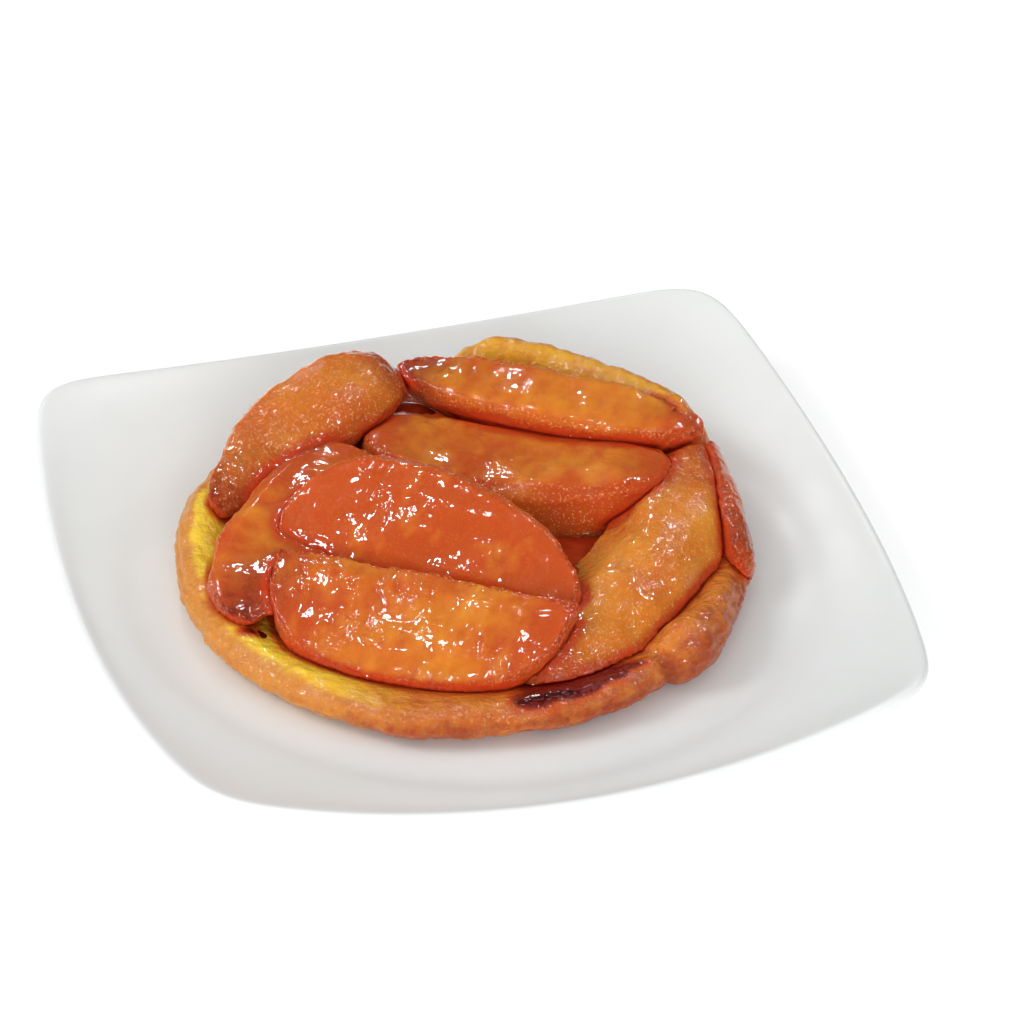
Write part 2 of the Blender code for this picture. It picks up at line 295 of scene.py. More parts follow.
def object_of(name, bm):
    """Turns a bmesh in metres into a smooth-shaded object."""
    mesh = bpy.data.meshes.new(name)
    bm.to_mesh(mesh)
    bm.free()
    mesh.shade_smooth()
    made = bpy.data.objects.new(name, mesh)
    bpy.context.scene.collection.objects.link(made)
    return made


def apply_modifiers(made):
    """Keeps the object's finished shape as its own mesh."""
    bpy.context.view_layer.update()
    graph = bpy.context.evaluated_depsgraph_get()
    rough = made.data
    made.data = bpy.data.meshes.new_from_object(made.evaluated_get(graph))
    made.modifiers.clear()
    bpy.data.meshes.remove(rough)
    made.data.shade_smooth()
    return made


def even_skin(name, bm, voxel, smoothing):
    """The same shape under an even grid, softened and then made twice as fine."""
    made = object_of(name, bm)
    remesh = made.modifiers.new("grid", "REMESH")
    remesh.mode = "VOXEL"
    remesh.voxel_size = voxel
    soften = made.modifiers.new("soften", "SMOOTH")
    soften.factor = 0.5
    soften.iterations = smoothing
    refine = made.modifiers.new("refine", "SUBSURF")
    refine.levels = refine.render_levels = 1
    return apply_modifiers(made)


def points_of(mesh):
    """The mesh's points and normals, as arrays."""
    count = len(mesh.vertices)
    points, normals = np.empty(count * 3), np.empty(count * 3)
    mesh.vertices.foreach_get("co", points)
    mesh.vertices.foreach_get("normal", normals)
    return points.reshape(-1, 3), normals.reshape(-1, 3)


def move_points(mesh, points):
    """Puts the mesh's points in new places."""
    mesh.vertices.foreach_set("co", points.ravel())
    mesh.update()


def keep_attribute(mesh, name, values):
    """Stores one number for each point, for the materials to read."""
    layer = mesh.attributes.new(name, "FLOAT", "POINT")
    layer.data.foreach_set("value", np.asarray(values, np.float32))


def grain(points, size, seed=0.0, stretch=(1.0, 1.0, 1.0)):
    """Smooth noise from -1 to 1 at each point; size is the grain in millimetres."""
    places = points / (size * MM) / np.array(stretch) + seed
    return np.array([noise.noise(Vector(place)) for place in places.tolist()])


def layered(points, layers, seed=0.0):
    """A sum of noises, each given as its depth, grain, seed and, if any, stretch."""
    return sum(
        depth * grain(points, size, seed + own, *stretch)
        for depth, size, own, *stretch in layers)


def smoothed(mesh, points, passes):
    """The points after each has moved to the middle of its neighbours a few times."""
    ends = np.empty(len(mesh.edges) * 2, np.int64)
    mesh.edges.foreach_get("vertices", ends)
    first, second = ends.reshape(-1, 2).T
    count = np.bincount(ends, minlength=len(points))[:, None]
    for _ in range(passes):
        total = [np.bincount(first, points[second, axis], len(points))
                 + np.bincount(second, points[first, axis], len(points))
                 for axis in range(3)]
        points = 0.5 * points + 0.5 * np.stack(total, 1) / count
    return points


def fade(low, high, values):
    """0 below low, 1 above high, and an S curve between."""
    share = np.clip((values - low) / (high - low), 0.0, 1.0)
    return share * share * (3.0 - 2.0 * share)


def stretch_of(values, start, full, fading, end):
    """1 from full to fading, and 0 before start and after end."""
    return fade(start, full, values) * (1.0 - fade(fading, end, values))


def finish(made, material, slot, *nodes):
    """Gives a piece its material and its place on the part."""
    made.data.materials.clear()
    made.data.materials.append(material)
    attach(made, "root")
    if nodes:
        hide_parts(*nodes)


# ------------------------------------------------------------ material helpers


class Recipe:
    """A node material, with short calls for the nodes that these finishes share."""

    def __init__(self, name):
        self.material = bpy.data.materials.new(name)
        self.material.use_nodes = True
        self.tree = self.material.node_tree
        self.shader = self.tree.nodes["Principled BSDF"]
        self.place = self.tree.nodes.new("ShaderNodeTexCoord").outputs["Object"]

    def set(self, **sockets):
        """Constant values, by the shader's socket names with _ for a space."""
        for name, value in sockets.items():
            self.shader.inputs[name.replace("_", " ")].default_value = value

    def link(self, source, target):
        """Joins a node's output to a node's or the shader's input."""
        self.tree.links.new(source, target)

    def colour(self, colour):
        """The surface's colour, worked out by nodes."""
        self.link(colour, self.shader.inputs["Base Color"])

    def rough(self, roughness):
        """The surface's roughness, worked out by nodes."""
        self.link(roughness, self.shader.inputs["Roughness"])

    def relief(self, normal, coat=None):
        """The surface's bump, and that of the clear coat over it."""
        self.link(normal, self.shader.inputs["Normal"])
        if coat is not None:
            self.link(coat, self.shader.inputs["Coat Normal"])

    def attribute(self, name):
        """A number that the mesh keeps for each of its points."""
        node = self.tree.nodes.new("ShaderNodeAttribute")
        node.attribute_name = name
        return node.outputs["Fac"]

    def grain(self, size, detail=2.0, roughness=0.5, distortion=0.0):
        """Noise whose grain is about size millimetres, centred on 0.5. The Mapping node
        scales it, because the noise's own scale goes no higher than 1000."""
        mapping = self.tree.nodes.new("ShaderNodeMapping")
        mapping.inputs["Scale"].default_value = [1.0 / (size * MM)] * 3
        self.link(self.place, mapping.inputs["Vector"])
        node = self.tree.nodes.new("ShaderNodeTexNoise")
        node.inputs["Scale"].default_value = 1.0
        node.inputs["Detail"].default_value = detail
        node.inputs["Roughness"].default_value = roughness
        node.inputs["Distortion"].default_value = distortion
        self.link(mapping.outputs["Vector"], node.inputs["Vector"])
        return node.outputs["Fac"]

    def range(self, value, low, high, start=0.0, end=1.0):
        """Value mapped from low..high to start..end, and kept between them."""
        node = self.tree.nodes.new("ShaderNodeMapRange")
        node.interpolation_type = "SMOOTHSTEP"
        self.link(value, node.inputs["Value"])
        for name, number in (("From Min", low), ("From Max", high),
                             ("To Min", start), ("To Max", end)):
            node.inputs[name].default_value = number
        return node.outputs["Result"]

    def math(self, operation, first, second):
        """Two values added or multiplied; each is a number or another node's output."""
        node = self.tree.nodes.new("ShaderNodeMath")
        node.operation = operation
        for socket, value in zip(node.inputs, (first, second)):
            if isinstance(value, (int, float)):
                socket.default_value = value
            else:
                self.link(value, socket)
        return node.outputs["Value"]

    def mix(self, share, first, second):
        """Colours mixed by a share; each is a colour or another node's output."""
        node = self.tree.nodes.new("ShaderNodeMix")
        node.data_type = "RGBA"
        for socket, value in ((node.inputs["Factor"], share), (node.inputs[6], first),
                              (node.inputs[7], second)):
            if isinstance(value, bpy.types.NodeSocket):
                self.link(value, socket)
            elif isinstance(value, (int, float)):
                socket.default_value = value
            else:
                socket.default_value = (*value, 1.0)
        return node.outputs[2]

    def bump(self, height, depth, after=None):
        """A bump of depth millimetres, on top of another one if given."""
        node = self.tree.nodes.new("ShaderNodeBump")
        node.inputs["Strength"].default_value = 1.0
        node.inputs["Distance"].default_value = depth * MM
        self.link(height, node.inputs["Height"])
        if after is not None:
            self.link(after, node.inputs["Normal"])
        return node.outputs["Normal"]


# ----------------------------------------------------------------------- plate


def plate_outline(angle):
    """Distance from the middle to the plate's edge, at an angle in plan."""
    across, along = abs(math.cos(angle)), abs(math.sin(angle))
    bow, power = PLATE_BOW / PLATE_HALF, PLATE_CORNER_POWER
    furthest = 1.2  # in half widths, so that no early step runs off
    reach = 1.0
    for _ in range(OUTLINE_ROUNDS):
        x, y = reach * across, reach * along
        side = x / (1.0 + bow * (1.0 - min(y, furthest) ** 2))
        end = y / (1.0 + bow * (1.0 - min(x, furthest) ** 2))
        reach /= (side**power + end**power) ** (1.0 / power)
    return reach * PLATE_HALF


def plate_height(radius):
    """Top face above the table: flat in the well, a soft step, then the flange."""
    foot, head = WELL_RADIUS - WELL_SOFTNESS, WELL_RADIUS + WELL_STEP_RUN + WELL_SOFTNESS
    rise = WELL_STEP * fade(foot, head, radius)
    flange = max(radius - WELL_RADIUS - FLANGE_START, 0.0)
    return WELL_TOP + rise + FLANGE_RISE * flange**FLANGE_POWER


def plate_profile():
    """The plate's section as (radius, height over the top face), drawn with a round rim
    RIM_GAP outside the flange. Heights in the middle count from the well."""
    below = -PLATE_WALL
    ground = below - PLATE_FOOT_HEIGHT
    top = [(r, 0.0) for r in (0.0, 30.0, 50.0, 58.0, 61.0, 64.0, 67.0, 70.0, 73.0, 78.0, 84.0)]
    rim = [(-1.6, 0.1), (-0.6, 0.0), (0.0, -0.9), (-0.2, -2.0), (-1.1, -3.0), (-2.6, -3.7)]
    under = [(r, below) for r in (84.0, 76.0, 69.0, 60.0, 54.5)]
    foot = [(52.5, below - 0.4), (50.4, ground + 0.3), (49.6, ground), (44.6, ground),
            (43.8, ground + 0.4), (42.5, below - 0.4)]
    inside = [(r, below) for r in (40.5, 20.0, 0.0)]
    rim = [(RIM_PLACE + RIM_GAP + out, up) for out, up in rim]
    return top + rim + under + foot + inside


def to_outline(point):
    """Moves a point of the round plate to the bowed square one."""
    angle = math.atan2(point.y, point.x)
    edge = plate_outline(angle)
    radius = point.xy.length
    inner = WELL_RADIUS + WELL_STEP_RUN
    if radius > RIM_PLACE:
        place = edge + radius - RIM_PLACE - RIM_GAP
        height = plate_height(edge)
    elif radius > inner:
        place = inner + (radius - inner) / (RIM_PLACE - inner) * (edge - inner)
        height = plate_height(place)
    else:
        place = radius
        height = plate_height(place)
    return Vector((place * math.cos(angle), place * math.sin(angle), height + point.z))


def porcelain(settings):
    """White glaze with faint clouds and a slight ripple."""
    recipe = Recipe("glazed_porcelain")
    shade = [0.975 * value for value in settings.glaze]
    clouds = recipe.range(recipe.grain(22.0, detail=3.0), 0.3, 0.7)
    recipe.colour(recipe.mix(clouds, settings.glaze, shade))
    recipe.rough(recipe.range(recipe.grain(9.0), 0.3, 0.7, 0.32, 0.40))
    recipe.relief(recipe.bump(recipe.grain(6.0, detail=1.0), 0.012))
    recipe.set(Specular_IOR_Level=0.3, Subsurface_Weight=0.08,
               Subsurface_Radius=(1.0, 0.9, 0.8), Subsurface_Scale=1.5 * MM)
    return recipe.material


class TART_OT_plate(bpy.types.Operator):
    """Spin the plate's section, then draw it out to a square with bowed sides."""

    bl_idname = "tart.plate"
    bl_label = "Plate"

    def execute(self, context):
        settings = context.scene.tart_plate
        bm = bmesh.new()
        section = [bm.verts.new((radius, 0.0, up)) for radius, up in plate_profile()]
        edges = [bm.edges.new(pair) for pair in zip(section, section[1:])]
        bmesh.ops.spin(
            bm, geom=section + edges, cent=(0, 0, 0), axis=(0, 0, 1), angle=math.tau,
            steps=settings.sides, use_merge=True)
        bmesh.ops.remove_doubles(bm, verts=bm.verts, dist=POLE_SIZE)
        for vert in bm.verts:
            vert.co = to_outline(vert.co) * MM
        bmesh.ops.recalc_face_normals(bm, faces=bm.faces)
        plate = object_of("plate_glazed", bm)
        soften = plate.modifiers.new("soften", "SUBSURF")
        soften.levels = soften.render_levels = 2
        apply_modifiers(plate)
        finish(plate, porcelain(settings), "porcelain", "plate")
        return {"FINISHED"}


# ---------------------------------------------------------------------- pastry


def in_tart(points):
    """Points in metres brought to the tart's frame, in millimetres."""
    back = np.array(tart_matrix().inverted())
    return points @ back[:3, :3].T + back[:3, 3]


def pastry_skin(settings):
    """Baked outside, golden with butter and juice inside, then browned and darker with caramel,
    with painted shade low on the wall, next to the apples and in the crease.
    """
    mottled, flour = (0.56, 0.120, 0.024), (0.80, 0.42, 0.17)
    amber, honey = (0.84, 0.40, 0.03), (0.84, 0.42, 0.03)
    orange, rust = (0.68, 0.22, 0.028), (0.56, 0.12, 0.018)
    buttery, red_caramel_and_shade, dark_caramel_and_shade = (0.86, 0.46, 0.07), (0.58, 0.090, 0.012), (0.17, 0.008, 0.005)
    recipe = Recipe("baked_pastry")
    inner, brown_and_shade = recipe.attribute("inner"), recipe.attribute("brown_and_shade")
    yellow, darkened = recipe.attribute("yellow"), recipe.attribute("darkened")
    fine = recipe.grain(0.7, detail=3.0, roughness=0.6)
    patches = recipe.grain(3.0, detail=4.0, roughness=0.65)
    broad = recipe.grain(11.0, detail=2.0)

    wall = recipe.mix(recipe.range(patches, 0.36, 0.70), settings.baked, mottled)
    wall = recipe.mix(recipe.range(fine, 0.52, 0.70, 0.0, 0.65), wall, flour)
    golden = recipe.mix(recipe.range(patches, 0.48, 0.80), settings.golden, amber)
    golden = recipe.mix(recipe.range(broad, 0.50, 0.75, 0.0, 0.5), golden, honey)
    darker = recipe.mix(recipe.range(patches, 0.4, 0.7), orange, rust)
    golden = recipe.mix(yellow, darker, golden)
    wall = recipe.mix(recipe.math("MULTIPLY", yellow, 0.35), wall, buttery)
    colour = recipe.mix(recipe.range(inner, 0.0, 1.0), wall, golden)

    # Random spots on the browning mask, which also carries painted shade low on the wall, on the
    # right and in the crease.
    spots = recipe.math("ADD", recipe.range(patches, 0.3, 0.7, -0.25, 0.2),
                        recipe.range(fine, 0.3, 0.7, -0.2, 0.2))
    spots = recipe.math("MULTIPLY", spots, recipe.range(brown_and_shade, 0.0, 0.3))
    spots = recipe.math("ADD", brown_and_shade, spots)
    colour = recipe.mix(recipe.range(spots, 0.0, 1.1), colour, settings.browned)
    # Redder, then nearly black, with caramel round the pools and with painted shade next to the
    # apples and in the gaps.
    colour = recipe.mix(recipe.range(darkened, 0.3, 0.75), colour, red_caramel_and_shade)
    recipe.colour(recipe.mix(recipe.range(darkened, 0.7, 1.0), colour, dark_caramel_and_shade))

    recipe.rough(recipe.range(inner, 0.2, 0.8, 0.46, 0.28))
    crumb = recipe.bump(recipe.grain(1.3, detail=1.0), 0.40)
    recipe.relief(recipe.bump(fine, 0.22, crumb), crumb)
    recipe.set(Specular_IOR_Level=0.1, Coat_Weight=0.6, Coat_Roughness=0.07,
               Coat_IOR=1.36, Subsurface_Weight=0.6,
               Subsurface_Radius=(1.0, 0.5, 0.12), Subsurface_Scale=3.0 * MM)
    return recipe.material


class Rim:
    """Where the pastry's points lie on the tart, and which way it faces there."""

    def __init__(self, mesh):
        self.points, self.normals = points_of(mesh)
        self.local = in_tart(self.points)
        self.radius = np.hypot(self.local[:, 0], self.local[:, 1])
        self.angle = np.degrees(np.arctan2(self.local[:, 1], self.local[:, 0]))
        away = np.hypot(self.points[:, 0], self.points[:, 1])
        self.outward = (self.normals[:, :2] * self.points[:, :2]).sum(axis=1)
        self.outward /= np.maximum(away, TINY)
        past = self.angle - FOLD_AT
        self.flap = stretch_of(past, *FLAP)
        self.crease = np.exp(-((past - CREASE_AT) / CREASE_WIDTH) ** 2)

    def grain(self, size, seed):
        """Smooth noise from -1 to 1 over the pastry."""
        return grain(self.points, size, seed)

    def relief(self):
        """How far the baked surface stands out, in millimetres: lumps, layers and fold."""
        on_rim = fade(*RIM_STARTS, self.radius) * fade(0.2, 2.0, self.local[:, 2])
        upright = fade(0.3, 0.8, self.outward)
        layers = np.sin(self.local[:, 2] * LAYER_WAVE + 2.5 * self.grain(12.0, 5.0))
        relief = layered(self.points, RIM_LUMPS) + LAYER_DEPTH * upright * layers
        relief += RIM_PUFF + FLAP_LIFT * self.flap - CREASE_DEPTH * self.crease
        return relief * on_rim

    def inner(self):
        """1 on the side of the rim that leans to the apples, 0 on its outside."""
        return 1.0 - fade(-0.05, 0.55, self.outward + 0.25 * self.grain(4.0, 2.0))

    def brown_and_shade(self, inner):
        """Browning at random, on the outside and on the right's crest; painted shade low on the
        wall where it faces down, most on the front, and in the crease; along the right side,
        browning and painted shade both.
        """
        right = stretch_of(self.angle, *RIM_RIGHT)
        crest = np.exp(-((self.outward - 0.5) / 0.35) ** 2)
        low = 0.12 + 0.40 * stretch_of(self.angle, *RIM_FRONT)
        low *= 1.0 - fade(0.15, 0.90, self.normals[:, 2] + 0.3 * self.grain(3.0, 8.0))
        # Painted shade: darker where the wall faces down and along the right side, added to the
        # browning.
        brown_and_shade = (0.04 + low + 0.26 * right) * (1.0 - inner) + 0.10 * crest * right
        return brown_and_shade + 0.28 * self.grain(7.0, 7.0) * (1.0 - 0.8 * inner) + 0.5 * self.crease

    def yellow(self):
        """1 along the left and less along the back, where the rim is drawn paler and more
        golden.
        """
        left = stretch_of(self.angle % 360.0, *RIM_LEFT)
        return left + 0.45 * stretch_of(self.angle, *RIM_BACK)

    def darkened(self):
        """Caramel in the pastry round the pools and in the front crescent, and painted shade
        next to the apples, in the gaps behind the left wedges and along the groove by the right
        one.
        """
        near = closeness(self.points, self.normals, neighbours_tree("pastry"), PASTRY_FEELS * MM)
        turn = self.angle + 5.0 * self.grain(6.0, 6.0)
        behind = stretch_of(turn, *SHADED_BEHIND) * (1.0 - fade(*SHADED_BEHIND_OUT, self.radius))
        bank = self.radius + 1.2 * self.grain(5.0, 3.0)
        bank += BANK_NARROWS * np.maximum(turn - BANK_AT, 0.0)
        beside = stretch_of(turn, *CARAMEL_AND_SHADE_FRONT) * (1.0 - fade(*CARAMEL_AND_SHADE_FRONT_OUT, bank))
        # Painted shade next to the apples and behind the left wedges; caramel in the front
        # crescent, then painted shade along the groove.
        darkened = np.maximum.reduce([0.85 * near, 0.9 * behind, beside])
        for middle, reach, _, dark in POOLS[1:]:  # the first has its own stretch, beside it
            away = (((self.local[:, :2] - middle) / reach) ** 2).sum(axis=1)
            darkened = np.maximum(darkened, dark * np.exp(-2.0 * away))
        return darkened


class TART_OT_pastry(bpy.types.Operator):
    """Refine the pastry base, give it its lumps and layers, and bake it."""

    bl_idname = "tart.pastry"
    bl_label = "Pastry"

    def execute(self, context):
        settings = context.scene.tart_pastry
        solid = merged_copy("pastry")
        pastry = even_skin("pastry_baked", solid, settings.voxel, smoothing=6)
        mesh = pastry.data
        rim = Rim(mesh)
        inner = rim.inner()
        move_points(mesh, rim.points + rim.normals * (rim.relief() * MM)[:, None])
        keep_attribute(mesh, "darkened", rim.darkened())
        keep_attribute(mesh, "yellow", np.clip(rim.yellow(), 0.0, 1.0))
        keep_attribute(mesh, "inner", inner)
        keep_attribute(mesh, "brown_and_shade", np.clip(rim.brown_and_shade(inner), 0.0, 1.0))
        finish(pastry, pastry_skin(settings), "crust", "pastry")
        return {"FINISHED"}


# ---------------------------------------------------------------------- apples


def wedge_directions(start, end, turn, sector):
    """Unit vectors along the wedge, out to its skin, and out of its two cut faces."""
    along = (Vector(end) - Vector(start)).normalized()
    up = (Vector((0, 0, 1)) - along * along.z).normalized()
    side = along.cross(up)
    roll, half = math.radians(turn), math.radians(sector) / 2.0
    out = up * math.cos(roll) + side * math.sin(roll)
    across = side * math.cos(roll) - up * math.sin(roll)
    faces = [across * math.cos(half) - out * math.sin(half),
             -across * math.cos(half) - out * math.sin(half)]
    turned = Matrix.Rotation(TART_TURN, 3, "Z")
    return [np.array(turned @ vector) for vector in (along, out, *faces)]


def neighbours_tree(name):
    """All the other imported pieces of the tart, to find how near they are."""
    bm = bmesh.new()
    for other in [*WEDGES, "pastry"]:
        if other != name:
            bm.from_mesh(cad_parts[other].data)
    tree = BVHTree.FromBMesh(bm)
    bm.free()
    return tree


def closeness(points, normals, tree, reach):
    """1 where a neighbour lies right in front of the surface, 0 beyond reach."""
    ahead = 0.3 * reach
    found = []
    for point, normal in zip(points.tolist(), normals.tolist()):
        near = tree.find_nearest(Vector(point) + Vector(normal) * ahead, reach)
        found.append(1.0 - near[3] / reach if near[0] is not None else 0.0)
    return np.array(found)


def apple_flesh(settings):
    """Glazed apple: grainy on its skin side, rippled on its cut faces, redder where it took up
    more caramel, with painted shade red and then dark where neighbours close in.
    """
    reddish, sugar, crusted = (0.44, 0.038, 0.008), (0.92, 0.50, 0.20), (0.30, 0.036, 0.008)
    scorched, red_caramel_and_shade = (0.13, 0.008, 0.005), (0.62, 0.060, 0.011)
    recipe = Recipe("caramelised_apple")
    cut, edge = recipe.attribute("cut"), recipe.attribute("edge")
    gap, soak_and_shade = recipe.attribute("gap"), recipe.attribute("soak_and_shade")
    burnt, wet = recipe.attribute("burnt"), recipe.attribute("wet")
    skin = recipe.range(cut, 0.15, 0.85, 1.0, 0.0)
    fine = recipe.grain(0.55, detail=3.0, roughness=0.6)
    medium = recipe.grain(2.2, detail=3.0, roughness=0.6)

    # Flesh by the caramel it took up, with painted shade in the gaps and in the hollows of the
    # relief.
    colour = recipe.mix(soak_and_shade, settings.pale, settings.flesh)
    red = recipe.math("MULTIPLY", recipe.range(medium, 0.48, 0.78),
                      recipe.range(skin, 0, 1, 0.20, 0.28))
    colour = recipe.mix(red, colour, reddish)
    grains = recipe.math("MULTIPLY", recipe.range(fine, 0.54, 0.68),
                         recipe.range(skin, 0, 1, 0.10, 0.62))
    colour = recipe.mix(grains, colour, sugar)
    browning = recipe.math("MULTIPLY", edge, recipe.range(fine, 0.35, 0.62, 0.85, 0.15))
    colour = recipe.mix(browning, colour, crusted)
    scorch = recipe.math("MULTIPLY", burnt, recipe.range(medium, 0.3, 0.6, 1.0, 0.6))
    colour = recipe.mix(scorch, colour, scorched)
    # Painted shade: redder, then darkest, where a neighbour lies close in front of the surface.
    colour = recipe.mix(recipe.range(gap, 0.35, 0.75), colour, red_caramel_and_shade)
    recipe.colour(recipe.mix(recipe.range(gap, 0.82, 1.0), colour, settings.gap_shade))

    recipe.rough(recipe.range(skin, 0, 1, 0.30, 0.42))
    waves = recipe.math("MULTIPLY", recipe.grain(1.7, detail=1.0, distortion=0.8), wet)
    ripple = recipe.bump(waves, 0.34)
    coarser = recipe.range(skin, 0, 1, 0.25, 1.0)
    grit = recipe.bump(recipe.math("MULTIPLY", fine, coarser), 0.25, ripple)
    beads = recipe.grain(1.25, detail=0.0, distortion=0.4)
    beads = recipe.bump(recipe.math("MULTIPLY", beads, coarser), 0.24, ripple)
    recipe.relief(grit, beads)
    recipe.set(Specular_IOR_Level=0.05, Coat_Weight=1.0, Coat_Roughness=0.045, Coat_IOR=1.38,
               Subsurface_Weight=0.9, Subsurface_Radius=(1.0, 0.20, 0.05),
               Subsurface_Scale=7.0 * MM)
    return recipe.material


class TART_OT_apples(bpy.types.Operator):
    """Refine each apple wedge, with glazed cut faces, grainy skin and ragged edges."""

    bl_idname = "tart.apples"
    bl_label = "Apple wedges"

    def execute(self, context):
        settings = context.scene.tart_apples
        material = apple_flesh(settings)
        for number, (name, lie) in enumerate(WEDGES.items()):
            self.wedge(name, lie, 17.0 * number, settings, material)
        return {"FINISHED"}

    def wedge(self, name, lie, seed, settings, material):
        """One wedge: finds its cut faces, edges and gaps, then gives it relief and caramel."""
        *tips, darkened, rippled = lie
        made = even_skin(name + "_glazed", merged_copy(name), settings.voxel, smoothing=2)
        mesh = made.data
        points, normals = points_of(mesh)
        along, out, *faces = wedge_directions(*tips)
        facing = np.max([normals @ face for face in faces], axis=0)
        cut = fade(*CUT_FACING, facing + 0.08 * grain(points, 3.0, seed))
        gap = closeness(points, normals, neighbours_tree(name), WEDGE_FEELS * MM)
        rounded = smoothed(mesh, points, EDGE_PASSES)
        ridge = np.einsum("ij,ij->i", points - rounded, normals) / MM
        edge = fade(*EDGE_RIDGE, ridge)
        points = points + EDGE_SHARPENING * (points - rounded)

        turned = np.stack([points @ along, points @ out, points @ np.cross(along, out)], 1)
        ripples = layered(turned, GLAZE_RIPPLES, seed)
        pores = layered(points, SKIN_PORES, seed) * (0.3 + 0.8 * rippled)
        ragged = layered(points, RAGGED_EDGE, seed)
        wet = rippled * fade(-0.25, 0.35, grain(points, 7.0, seed + 9.0))
        wet = np.maximum(wet, 0.7 * (1.0 - cut))
        relief = layered(points, WEDGE_LUMPS, seed) + (0.3 + wet) * cut * ripples
        relief += (1.0 - cut) * pores + edge * ragged
        relief = GLAZE_THICKNESS + relief * (1.0 - fade(*TOUCHING, gap))
        move_points(mesh, points + normals * (relief * MM)[:, None])

        # Browned in places, and darker with caramel at its tips; painted shade in the gaps, and
        # caramel with painted shade in the hollows of its relief.
        local = in_tart(points)
        burnt = sum(
            share * np.exp(-(((local - middle) / reach) ** 2).sum(axis=1))
            for middle, reach, share in BROWNED)
        place = points @ along
        tip = np.abs(2.0 * (place - place.min()) / np.ptp(place) - 1.0)
        soak_and_shade = darkened + 0.45 * grain(points, 13.0, seed) + 0.20 * (1.0 - cut)
        # Painted shade: darker where a neighbour is close.
        soak_and_shade += 0.4 * fade(0.1, 0.6, gap) + 0.5 * fade(0.55, 1.0, tip)
        soak_and_shade -= 1.1 * cut * ripples + 0.3 * (1.0 - cut) * pores
        keep_attribute(mesh, "cut", cut * (1.0 - edge))
        keep_attribute(mesh, "edge", edge)
        keep_attribute(mesh, "gap", gap)
        keep_attribute(mesh, "wet", wet)
        keep_attribute(mesh, "burnt", np.clip(burnt, 0.0, 1.0))
        keep_attribute(mesh, "soak_and_shade", np.clip(soak_and_shade, 0.0, 1.0))
        finish(made, material, "apple", name)


# --------------------------------------------------------------------- caramel


def caramel(settings):
    """Juice, russet between the wedges and nearly black in the pools."""
    thick, thin = (0.34, 0.020, 0.006), (0.46, 0.045, 0.010)
    recipe = Recipe("caramel_juice")
    swirl = recipe.range(recipe.grain(5.0, detail=3.0, distortion=0.6), 0.35, 0.7)
    light = recipe.mix(swirl, thick, thin)
    recipe.colour(recipe.mix(recipe.attribute("pool"), light, settings.colour))
    recipe.rough(recipe.range(recipe.grain(1.2), 0.3, 0.7, 0.06, 0.14))
    ripple = recipe.bump(recipe.grain(1.6, detail=2.0), 0.10)
    recipe.relief(ripple, ripple)
    recipe.set(Coat_Weight=1.0, Coat_Roughness=0.03, Subsurface_Weight=0.3,
               Subsurface_Radius=(1.0, 0.1, 0.03), Subsurface_Scale=2.0 * MM)
    return recipe.material


def juice_level(point, level):
    """Height of the juice: full between the wedges, low at the rim, higher in the pools."""
    height = level + (JUICE_LOW - level) * fade(*JUICE_SHORE, point.xy.length)
    for middle, reach, rise, _ in POOLS:
        apart = Vector(((point.x - middle[0]) / reach[0], (point.y - middle[1]) / reach[1]))
        height += rise * math.exp(-apart.length_squared**2)
    return height + 0.25 * noise.noise(point / 6.0)


class TART_OT_caramel(bpy.types.Operator):
    """Fill the gaps between the wedges with caramel juice."""

    bl_idname = "tart.caramel"
    bl_label = "Caramel juice"

    def execute(self, context):
        settings = context.scene.tart_caramel
        bm = bmesh.new()
        bmesh.ops.create_grid(
            bm, x_segments=JUICE_STEPS, y_segments=JUICE_STEPS, size=JUICE_RADIUS + 1.0)
        outside = [v for v in bm.verts if v.co.xy.length > JUICE_RADIUS]
        bmesh.ops.delete(bm, geom=outside, context="VERTS")
        for vert in bm.verts:
            vert.co.z = juice_level(vert.co, settings.level / MM)
        shelf = bmesh.ops.extrude_face_region(bm, geom=bm.faces[:])
        lower = [g for g in shelf["geom"] if isinstance(g, bmesh.types.BMVert)]
        bmesh.ops.translate(bm, verts=lower, vec=(0, 0, -JUICE_DEPTH))
        bmesh.ops.recalc_face_normals(bm, faces=bm.faces)
        bmesh.ops.transform(bm, matrix=tart_matrix(), verts=bm.verts)
        juice = object_of("caramel_between_wedges", bm)
        local = in_tart(points_of(juice.data)[0])
        pool = sum(dark * np.exp(-(((local[:, :2] - middle) / reach) ** 2).sum(axis=1))
                   for middle, reach, _, dark in POOLS)
        keep_attribute(juice.data, "pool", fade(0.1, 0.6, pool))
        finish(juice, caramel(settings), "apple")
        return {"FINISHED"}


# ----------------------------------------------------------------------- stage


def area_light(name, place, size, power):
    """A square light that faces the tart."""
    light = bpy.data.lights.new(name, "AREA")
    light.shape = "SQUARE"
    light.size = size
    light.energy = power
    made = bpy.data.objects.new(name, light)
    bpy.context.scene.collection.objects.link(made)
    made.location = place
    made.rotation_mode = "QUATERNION"
    made.rotation_quaternion = (Vector(LIGHT_AIM) - Vector(place)).to_track_quat("-Z", "Y")
    return made


def surroundings(settings):
    """White light from all round, dimmer where it would be mirrored."""
    world = bpy.data.worlds.new("studio")
    world.use_nodes = True
    tree = world.node_tree
    sky = tree.nodes["Background"]
    sky.inputs["Color"].default_value = (1.0, 1.0, 1.0, 1.0)
    path = tree.nodes.new("ShaderNodeLightPath")
    dim = tree.nodes.new("ShaderNodeMapRange")
    dim.inputs["To Min"].default_value = settings.fill
    dim.inputs["To Max"].default_value = settings.mirrored
    tree.links.new(path.outputs["Is Glossy Ray"], dim.inputs["Value"])
    tree.links.new(dim.outputs["Result"], sky.inputs["Strength"])
    return world


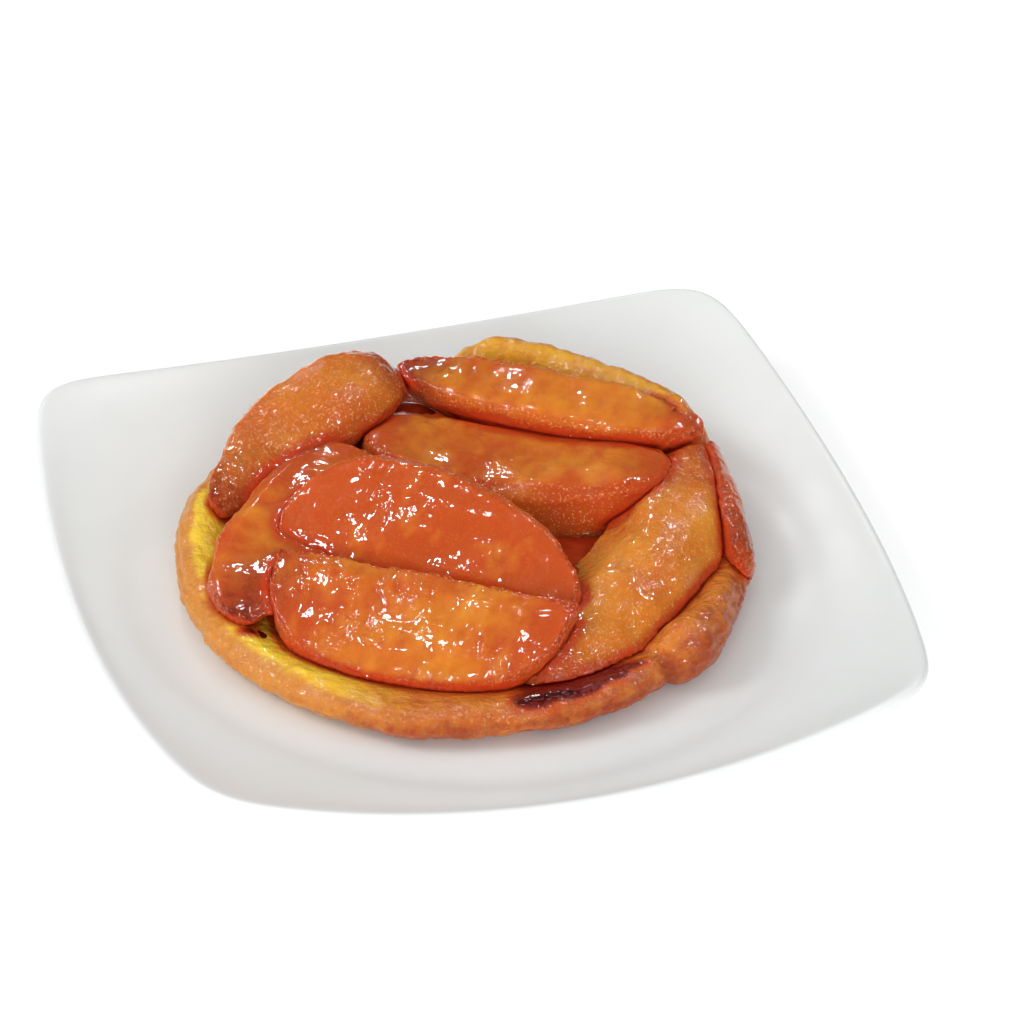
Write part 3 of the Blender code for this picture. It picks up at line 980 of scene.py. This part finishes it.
def floor_finish():
    """Matt white with faint clouds, lit a little from within so that it stays pale."""
    white, cloudy = (0.93, 0.93, 0.93), (0.90, 0.90, 0.905)
    recipe = Recipe("pale_floor")
    recipe.colour(recipe.mix(recipe.range(recipe.grain(300.0), 0.3, 0.7), white, cloudy))
    recipe.set(Roughness=0.7, Emission_Color=(1.0, 1.0, 1.0, 1.0), Emission_Strength=0.3)
    return recipe.material


def place_camera(settings):
    """A long lens, so that the view is nearly without perspective."""
    turn, rise = settings.azimuth, settings.elevation
    back = Vector((math.sin(turn) * math.cos(rise), -math.cos(turn) * math.cos(rise),
                   math.sin(rise)))
    right = Vector((math.cos(turn), math.sin(turn), 0.0))
    up = back.cross(right)
    level, tilt = math.cos(settings.roll), math.sin(settings.roll)
    right, up = right * level - up * tilt, right * tilt + up * level
    data = bpy.data.cameras.new("camera")
    data.sensor_width = SENSOR
    data.lens = settings.lens
    data.clip_start, data.clip_end = CAMERA_SEES
    made = bpy.data.objects.new("camera", data)
    bpy.context.scene.collection.objects.link(made)
    made.matrix_world = Matrix.LocRotScale(
        Vector(settings.target) + back * settings.distance,
        Matrix((right, up, back)).transposed(), None)
    bpy.context.scene.camera = made


class TART_OT_stage(bpy.types.Operator):
    """Lay the pale floor and set the soft lights and the camera."""

    bl_idname = "tart.stage"
    bl_label = "Stage"

    def execute(self, context):
        settings = context.scene.tart_stage
        bm = bmesh.new()
        bmesh.ops.create_grid(bm, x_segments=1, y_segments=1, size=FLOOR_REACH)
        floor = object_of("floor", bm)
        floor.data.materials.append(floor_finish())
        context.scene.world = surroundings(settings)
        key = area_light("key_light", KEY_PLACE, KEY_SIZE, settings.key)
        key.visible_glossy = False
        front = area_light("front_fill", FRONT_PLACE, FRONT_SIZE, settings.front)
        front.visible_glossy = False
        for name, place, size, bright in GLINTS:
            glint = area_light(name, place, size, settings.glint * bright * size**2)
            glint.visible_diffuse = False
        place_camera(settings)
        context.scene.view_settings.view_transform = "Standard"
        return {"FINISHED"}


class TART_PT_panel(bpy.types.Panel):
    """The tart's steps, in the order in which they are made."""

    bl_label = "Tarte tatin"
    bl_idname = "TART_PT_panel"
    bl_space_type = "VIEW_3D"
    bl_region_type = "UI"
    bl_category = "Tart"

    def draw(self, context):
        for name, _, operator in STEPS:
            box = self.layout.box()
            box.operator(operator.bl_idname)
            settings = getattr(context.scene, name)
            for field in settings.bl_rna.properties:
                if field.identifier not in ("rna_type", "name"):
                    box.prop(settings, field.identifier)


STEPS = (
    ("tart_plate", PlateSettings, TART_OT_plate),
    ("tart_pastry", PastrySettings, TART_OT_pastry),
    ("tart_apples", AppleSettings, TART_OT_apples),
    ("tart_caramel", CaramelSettings, TART_OT_caramel),
    ("tart_stage", StageSettings, TART_OT_stage),
)


def register():
    """Adds the settings, the steps and the panel to Blender."""
    for name, settings, operator in STEPS:
        bpy.utils.register_class(settings)
        bpy.utils.register_class(operator)
        setattr(bpy.types.Scene, name, PointerProperty(type=settings))
    bpy.utils.register_class(TART_PT_panel)


def unregister():
    """Takes them out again, in the opposite order."""
    bpy.utils.unregister_class(TART_PT_panel)
    for name, settings, operator in reversed(STEPS):
        delattr(bpy.types.Scene, name)
        bpy.utils.unregister_class(operator)
        bpy.utils.unregister_class(settings)


def main():
    """Runs every step in order."""
    register()
    for _, _, operator in STEPS:
        group, call = operator.bl_idname.split(".")
        getattr(getattr(bpy.ops, group), call)()


if __name__ == "__main__":
    main()
